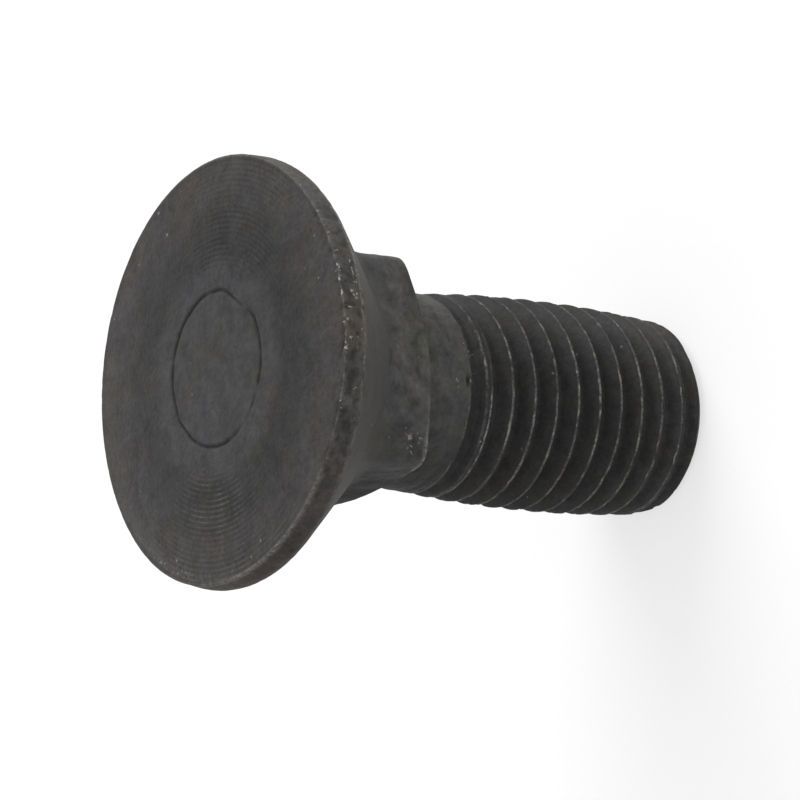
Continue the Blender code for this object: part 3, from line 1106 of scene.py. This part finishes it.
def turned_face():
    """Oxide over turned steel: a darker band, fine dark rings where the tool marks are left, and painted
    light: lighter towards +Y, darker towards +X, with a painted glint on the rings towards -X.
    """
    material, tree = new_material(ZONES[0])
    place = object_place(tree)
    axes = axes_of(tree, place)
    flat = add_node(tree, "ShaderNodeCombineXYZ", {0: axes["X"], 1: axes["Y"]}).outputs[0]
    r = add_node(tree, "ShaderNodeVectorMath", {0: flat}, operation="LENGTH").outputs["Value"]
    turned = attribute(tree, "turned")
    wave = calc(tree, "COSINE", product(tree, r, math.tau / RING_SPACING))
    broken = remap(tree, clouds(tree, place, 1 / (4 * MM), 2), 0.34, 0.54)
    ring = product(tree, remap(tree, wave, 0.1, 1.0), turned, broken)
    band = remap(tree, r, 11.5 * MM, 14.5 * MM, smooth=True)
    band = product(tree, band, remap(tree, r, 22 * MM, 15.5 * MM, smooth=True))
    # Painted light: the face is lighter towards +Y and darker towards +X.
    shade = remap(tree, axes["Y"], -18 * MM, 18 * MM, 0.93, 1.1)
    shade = product(tree, shade, remap(tree, axes["X"], -10 * MM, 20 * MM, 1.0, 0.92))
    shade = calc(tree, "SUBTRACT", shade, product(tree, band, 0.3))
    shade = calc(tree, "SUBTRACT", shade, product(tree, ring, 0.26))
    edge = remap(tree, r, 15 * MM, 24 * MM, smooth=True)
    tone = scaled(tree, tinted(tree, FACE_TONE, FACE_EDGE_TINT, edge), shade)
    # Painted glint: on the -X side the ridges of the rings are lightened, as a highlight on turned
    # steel.
    low_side = remap(tree, axes["X"], -9 * MM, -14 * MM, 0.06, 0.33)
    low_side = product(tree, low_side, remap(tree, r, 16 * MM, 22 * MM, 1.15, 0.6))
    scattered = remap(tree, clouds(tree, place, 1 / (3 * MM), 2), 0.4, 0.65)
    glint = product(tree, remap(tree, wave, -0.4, -1), turned, low_side, scattered)
    skin = {"Stain": 0.6, "Patchiness": 0.3, "Grain": 0.24}
    rub_and_painted_light = calc(tree, "ADD", attribute(tree, "rub_and_painted_light"), glint)
    wear = {"Rub_and_painted_light": rub_and_painted_light, "Specks": 0.3, "Darkening": 0.77, "Roughness": 0.6, "Bare": (0.2, 0.19, 0.18, 1)}
    steel(tree, tone, skin, wear, 0.03 * MM)
    return material


# %% [markdown]
# The rim and the forged flank were never turned, so they keep the scale of the forging under the oxide.
# The rim is browner, because it is what hands and damp ground touch. Both use the same two groups as
# the face, with tones and amounts of their own.

# %% Materials for the rim and the forged flank
RIM_TONE = (0.0635, 0.0590, 0.0555, 1.0)
RUSTY = (1.04, 0.97, 0.95, 1.0)
PAINTED_SHADE = 0.86
FLANK_TONE = (0.0757, 0.0752, 0.0735, 1.0)
SHANK_SHADE = 0.80


def pitted_rim():
    """The rim is browner than the rest and browner still towards -X. Painted shade darkens the quarter
    towards -X and -Y.
    """
    material, tree = new_material(ZONES[1])
    place = object_place(tree)
    axes = axes_of(tree, place)
    tone = tinted(tree, RIM_TONE, RUSTY, remap(tree, axes["X"], -6 * MM, -20 * MM))
    # Painted shade: the quarter of the rim towards -X and -Y is darker.
    low_x = remap(tree, axes["X"], -2 * MM, -10 * MM, 1.0, PAINTED_SHADE)
    low_y = remap(tree, axes["Y"], -1 * MM, -8 * MM, 1.0, PAINTED_SHADE)
    tone = scaled(tree, tone, calc(tree, "MAXIMUM", low_x, low_y))
    skin = {"Stain": 0.8, "Patchiness": 0.3, "Grain": 0.3}
    wear = {"Specks": 0.3, "Darkening": 0.65, "Roughness": 0.62, "Bare": (0.3, 0.285, 0.265, 1)}
    steel(tree, tone, skin, wear, 0.035 * MM)
    return material


OLIVE_PATCH = (3.2 * MM, -12.8 * MM, 42.4 * MM)
OLIVE_TONE = (0.0715, 0.0710, 0.063, 1.0)
CONE_TINT = (1.06, 1.0, 0.95, 1.0)


def forged_flank():
    """Cone, neck and shank. The shank is a little darker than the neck, which has one olive stain."""
    material, tree = new_material(ZONES[2])
    place = object_place(tree)
    height = axes_of(tree, place)["Z"]
    end = NECK_END_Z
    shade = remap(tree, height, end - 0.5 * MM, end + 0.5 * MM, SHANK_SHADE, 1.0, smooth=True)
    away = add_node(tree, "ShaderNodeVectorMath", {0: place, 1: OLIVE_PATCH}, operation="DISTANCE")
    ragged = remap(tree, clouds(tree, place, 1 / (1.6 * MM), 3), 0.2, 0.8, -1.5 * MM, 1.5 * MM)
    away = calc(tree, "ADD", away.outputs["Value"], ragged)
    stained = remap(tree, away, 4.2 * MM, 2.2 * MM, smooth=True)
    tone = blend(tree, stained, FLANK_TONE, OLIVE_TONE)
    patchiness = remap(tree, height, CONE_END_Z - 1 * MM, CONE_END_Z + 3 * MM, 0.5, 0.14)
    grain = remap(tree, height, CONE_END_Z - 1 * MM, CONE_END_Z + 3 * MM, 0.28, 0.08)
    tone = tinted(tree, tone, CONE_TINT, remap(tree, height, CONE_END_Z, RIM_BACK_Z))
    skin = {"Stain": 0.5, "Patchiness": patchiness, "Grain": grain}
    wear = {"Specks": 0.25, "Darkening": 0.86, "Roughness": 0.68, "Bare": (0.22, 0.21, 0.19, 1)}
    steel(tree, scaled(tree, tone, shade), skin, wear, 0.03 * MM)
    return material


# %% [markdown]
# The thread's crests carry a thin bright line each. Vertices are too far apart to draw it, but its
# place follows from a formula: how far a point lies along the axis from the nearest crest. Where the
# thread runs out, the crest is flat and wider, and the line splits into one along each of its edges.
# Half the way round the edge towards the head is the more worn one, and then the other is.

# %% Material for the thread
THREAD_TONE = (0.0275, 0.0270, 0.0265, 1.0)
ROOT_PAINTED_FILL_TONE = (0.030, 0.0295, 0.029, 1.0)
LINE_HALF_WIDTH = 0.2 * MM
LINE_SPLIT = 0.45 * MM
LINE_SWAP_ANGLE = math.radians(10)
WEAK_LINE = 0.25


def crest_line(tree, place):
    """1 along the bright line of each crest, and 0 away from it."""
    axes = axes_of(tree, place)
    turn = calc(tree, "SUBTRACT", calc(tree, "ARCTAN2", axes["Y"], axes["X"]), ROOT_START_ANGLE)
    along = calc(tree, "SUBTRACT", axes["Z"], product(tree, turn, PITCH / math.tau))
    along = calc(tree, "SUBTRACT", calc(tree, "FLOORED_MODULO", along, PITCH), PITCH / 2)
    running_out = remap(tree, axes["Z"], RUNOUT_TOP_Z - 6 * MM, RUNOUT_TOP_Z - 3 * MM)
    edge = product(tree, running_out, LINE_SPLIT)
    away = calc(tree, "ABSOLUTE", calc(tree, "SUBTRACT", calc(tree, "ABSOLUTE", along), edge))
    line = remap(tree, away, LINE_HALF_WIDTH, 0.4 * LINE_HALF_WIDTH, smooth=True)
    head_side = calc(tree, "COSINE", calc(tree, "ADD", turn, LINE_SWAP_ANGLE + ROOT_START_ANGLE))
    strong = product(tree, along, remap(tree, head_side, -0.15, 0.15, -1, 1))
    weak_side = remap(tree, strong, 0.05 * MM, -0.05 * MM, 0.0, 1 - WEAK_LINE)
    weak_side = product(tree, weak_side, remap(tree, edge, 0.05 * MM, 0.2 * MM))
    return product(tree, line, calc(tree, "SUBTRACT", 1.0, weak_side))


def rolled_thread():
    """Nearly black thread with bright crest lines, and the last of the shank above its ragged start."""
    material, tree = new_material(ZONES[3])
    place = object_place(tree)
    height = axes_of(tree, place)["Z"]
    ragged = remap(tree, clouds(tree, place, 1 / (1.5 * MM), 3), 0.2, 0.8, -0.8 * MM, 0.8 * MM)
    edge = calc(tree, "ADD", height, ragged)
    threaded = remap(tree, edge, THREAD_STAIN_Z + 0.3 * MM, THREAD_STAIN_Z - 0.3 * MM, smooth=True)
    # Painted fill light: where the mark is high, mostly in the roots, the thread takes the lighter root
    # tone.
    dark = blend(tree, attribute(tree, "grime_and_painted_light"), THREAD_TONE, ROOT_PAINTED_FILL_TONE)
    # Painted bounce light from the floor: the thread is up to 1.3 times lighter towards the point.
    dark = scaled(tree, dark, remap(tree, height, 1 * MM, 15 * MM, 1.3, 1.0))
    shank_tone = tuple(SHANK_SHADE * c for c in FLANK_TONE[:3]) + (1.0,)
    tone = blend(tree, threaded, shank_tone, dark)
    line = product(tree, crest_line(tree, place), attribute(tree, "rub_and_painted_light"))
    skin = {"Stain": 0.5, "Patchiness": 0.25, "Grain": 0.25}
    plain = calc(tree, "SUBTRACT", 1.0, threaded)
    wear = {
        "Rub_and_painted_light": line, "Grime_and_painted_light": product(tree, attribute(tree, "grime_and_painted_light"), plain),
        "Specks": 0.15, "Darkening": 0.86, "Roughness": 0.65, "Bare": (0.19, 0.185, 0.175, 1),
    }
    steel(tree, tone, skin, wear, 0.02 * MM)
    return material


for make in (turned_face, pitted_rim, forged_flank, rolled_thread):
    bolt_skin.data.materials.append(make())
print("materials:", [material.name for material in bolt_skin.data.materials])
